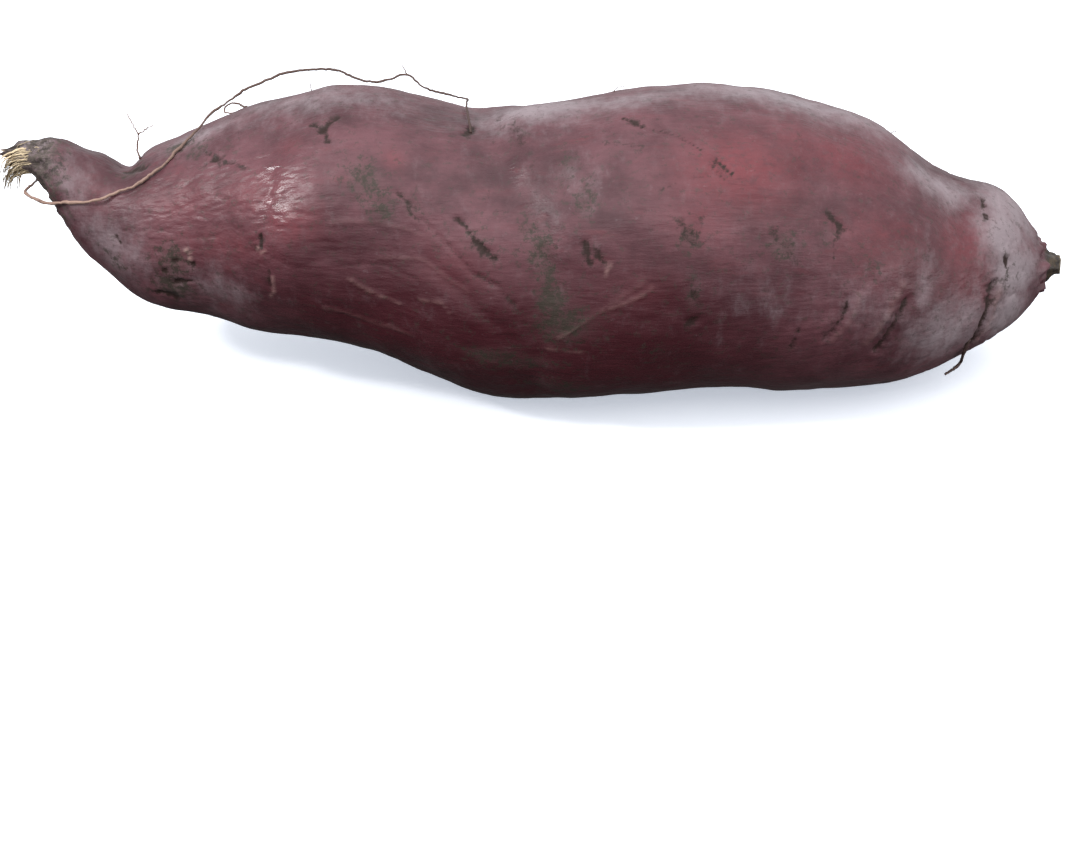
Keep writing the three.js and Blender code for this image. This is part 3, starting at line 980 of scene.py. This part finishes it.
def marked(look, colour, crumbs):
    """Bark, dirt, pale ridges with painted highlight, and dark scars."""
    grain = look.noise(0.9, (5, 1, 1), 4.0, 0.7, 8.0)
    bark = look.mix(look.fade(grain, 0.38, 0.62), BARK_DARK, BARK_GREY)
    colour = look.mix(look.ragged("bark", crumbs, 0.6, 1.5), colour, bark)
    colour = look.mix(look.fade(look.stored("dirt"), 0.1, 1.1, 0.0, 0.38), colour, OLIVE_GREY)
    crust = look.math("MULTIPLY", look.ragged("dirt", crumbs, 0.66, 1.4), 0.85)
    colour = look.mix(crust, colour, OLIVE)
    # Pale ridges: partly their own paleness, partly painted highlight.
    colour = look.mix(look.stored("ridge_paleness_and_glint"), colour, PALE_RIDGE_AND_GLINT)
    return look.mix(look.ragged("scar", crumbs, 0.3, 0.95, 0.4), colour, SCAR_BROWN)


def skin_colour(look):
    """The skin under its dust and marks, with the bare root stub and the torn flesh."""
    speck = look.noise(1.3, (1.4, 1, 1), 3.0, 0.65, 9.2)
    crumbs = look.fade(look.noise(1.5, (1, 1, 1), 5.0, 0.8, 12.4), 0.38, 0.64)
    colour = marked(look, dusted_and_sheened(look, plain_skin(look, speck), speck), crumbs)
    stub = look.mix(look.fade(crumbs, 0.2, 0.9), BARK_DARK, STUB_BROWN)
    colour = look.mix(look.stored("stub"), colour, stub)
    return look.mix(look.fade(look.stored("torn"), 0.3, 0.9), colour, TORN_CREAM)


def skin_roughness(look):
    """Half matt, glossier where the skin shines and dull where something covers or breaks it."""
    gloss = look.noise(3.0, (3, 1, 1), 3.0, 0.6, 4.4)
    rough = look.fade(gloss, 0.3, 0.75, 0.36, 0.5)
    rough = look.math("SUBTRACT", rough, look.math("MULTIPLY", look.stored("shine"), 0.17))
    # Dirt, bloom and the painted sheen patches make the skin duller.
    stained_and_sheened = look.math("MAXIMUM", look.stored("dirt"), look.stored("bloom_and_sheen"))
    broken = look.math("MAXIMUM", look.stored("scar"), look.stored("bark"))
    dull = look.math("MAXIMUM", stained_and_sheened, broken)
    return look.math("ADD", rough, look.math("MULTIPLY", dull, 0.3))


def skin_relief(look):
    """Streaks, pores and small lumps that are finer than the mesh."""
    streaks = look.bump(look.noise(0.75, (6, 1, 1), 3.0, 0.5), 0.12)
    pores = look.bump(look.noise(0.35, (1.5, 1, 1), 2.0, 0.5), 0.025, streaks)
    return look.bump(look.noise(2.4, (3.5, 1, 1), 3.0, 0.5), 0.14, pores)


def skin_look():
    look = Look("tuber_skin")
    look.set(look.shader.inputs["Base Color"], skin_colour(look))
    look.set(look.shader.inputs["Roughness"], skin_roughness(look))
    look.set(look.shader.inputs["Normal"], skin_relief(look))
    look.shader.inputs["Specular IOR Level"].default_value = 0.3
    look.shader.inputs["Sheen Weight"].default_value = 0.04
    look.shader.inputs["Sheen Roughness"].default_value = 0.4
    return look.material


def fibre_look(name, dark, light, rough):
    """Dry root thread: dull, with a fibrous grain, as dark or light as its stored tone says."""
    look = Look(name)
    fleck = look.noise(0.4, (3, 1, 1), 3.0, 0.6, 2.0)
    colour = look.mix(look.stored("tone"), dark, light)
    colour = look.mix(look.fade(fleck, 0.5, 0.8, 0.0, 0.5), colour, dark)
    look.set(look.shader.inputs["Base Color"], colour)
    look.set(look.shader.inputs["Roughness"], look.fade(fleck, 0.3, 0.8, rough - 0.1, rough + 0.1))
    look.set(look.shader.inputs["Normal"], look.bump(fleck, 0.08))
    return look.material


# ---------------------------------------------------------------- floor and light


FLOOR_REACH = 8000.0  # from the middle to each edge
FLOOR_GLOW = 0.48
GLOW_COLOUR = (0.8, 0.87, 1.0, 1.0)
# The air's brightness depends on how high it is seen, from -1 straight below to 1 straight above.
AIR_COLOUR = (0.97, 0.98, 1.0, 1.0)
AIR_RANGE = (-0.35, 0.03)
AIR_BRIGHTNESS = (0.03, 1.0)
# The lights: name, azimuth, elevation, distance and width in metres, and power.
SOFTBOXES = [
    ("top_softbox", 10, 78, 1.0, 1.5, 11.0),
    ("left_softbox", -70, 38, 0.8, 0.09, 3.2),
    ("low_right_softbox", 62, 8, 0.8, 0.4, 1.6),
]


def add_floor():
    """The floor, unseen by rays that leave the skin, so that no light comes up from it."""
    reach = FLOOR_REACH
    corners = [(-reach, -reach, 0), (reach, -reach, 0), (reach, reach, 0), (-reach, reach, 0)]
    floor = mesh_object("floor", corners, [(0, 1, 2, 3)], [floor_look()])
    floor.visible_diffuse = False
    floor.visible_glossy = False


def floor_look():
    """Pale and almost even, with a faint glow that keeps its shadow light."""
    look = Look("floor")
    colour = look.mix(look.noise(120), FLOOR_DARK, FLOOR_LIGHT)
    look.set(look.shader.inputs["Base Color"], colour)
    look.shader.inputs["Roughness"].default_value = 0.7
    look.shader.inputs["Specular IOR Level"].default_value = 0.2
    look.shader.inputs["Emission Color"].default_value = GLOW_COLOUR
    look.shader.inputs["Emission Strength"].default_value = FLOOR_GLOW
    return look.material


def add_light(name, azimuth, elevation, distance, width, power):
    """A square soft light that faces the tuber. Azimuth 0 is the camera's side."""
    data = bpy.data.lights.new(name, "AREA")
    data.shape = "SQUARE"
    data.size = width
    data.energy = power
    light = bpy.data.objects.new(name, data)
    turn, rise = math.radians(azimuth), math.radians(elevation)
    away = Vector((math.cos(rise) * math.sin(turn), -math.cos(rise) * math.cos(turn), math.sin(rise)))
    light.location = TUBER_MIDDLE + distance * away
    light.rotation_euler = away.to_track_quat("Z", "Y").to_euler()
    bpy.context.scene.collection.objects.link(light)


def add_light_and_air():
    """White air above and dim below, as if other things on the table kept light from under the tuber."""
    world = bpy.data.worlds.new("studio")
    world.use_nodes = True
    tree = world.node_tree
    direction = tree.nodes.new("ShaderNodeTexCoord").outputs["Generated"]
    height = tree.nodes.new("ShaderNodeSeparateXYZ")
    tree.links.new(direction, height.inputs[0])
    share = tree.nodes.new("ShaderNodeMapRange")
    share.interpolation_type = "SMOOTHSTEP"
    share.inputs["From Min"].default_value = AIR_RANGE[0]
    share.inputs["From Max"].default_value = AIR_RANGE[1]
    share.inputs["To Min"].default_value = AIR_BRIGHTNESS[0]
    share.inputs["To Max"].default_value = AIR_BRIGHTNESS[1]
    tree.links.new(height.outputs["Z"], share.inputs["Value"])
    background = tree.nodes["Background"]
    background.inputs["Color"].default_value = AIR_COLOUR
    tree.links.new(share.outputs["Result"], background.inputs["Strength"])
    bpy.context.scene.world = world
    for softbox in SOFTBOXES:
        add_light(*softbox)
    bpy.context.scene.view_settings.view_transform = "Standard"


# ---------------------------------------------------------------- the scene


def main():
    tuber = make_tuber([skin_look()])
    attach(tuber, ROOT)
    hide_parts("tuber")
    add_rootlets(fibre_look("rootlet", ROOTLET_DARK, ROOTLET_LIGHT, 0.75))
    add_torn_fibres(fibre_look("torn_fibre", FIBRE_DARK, FIBRE_LIGHT, 0.7))
    add_floor()
    add_light_and_air()


main()
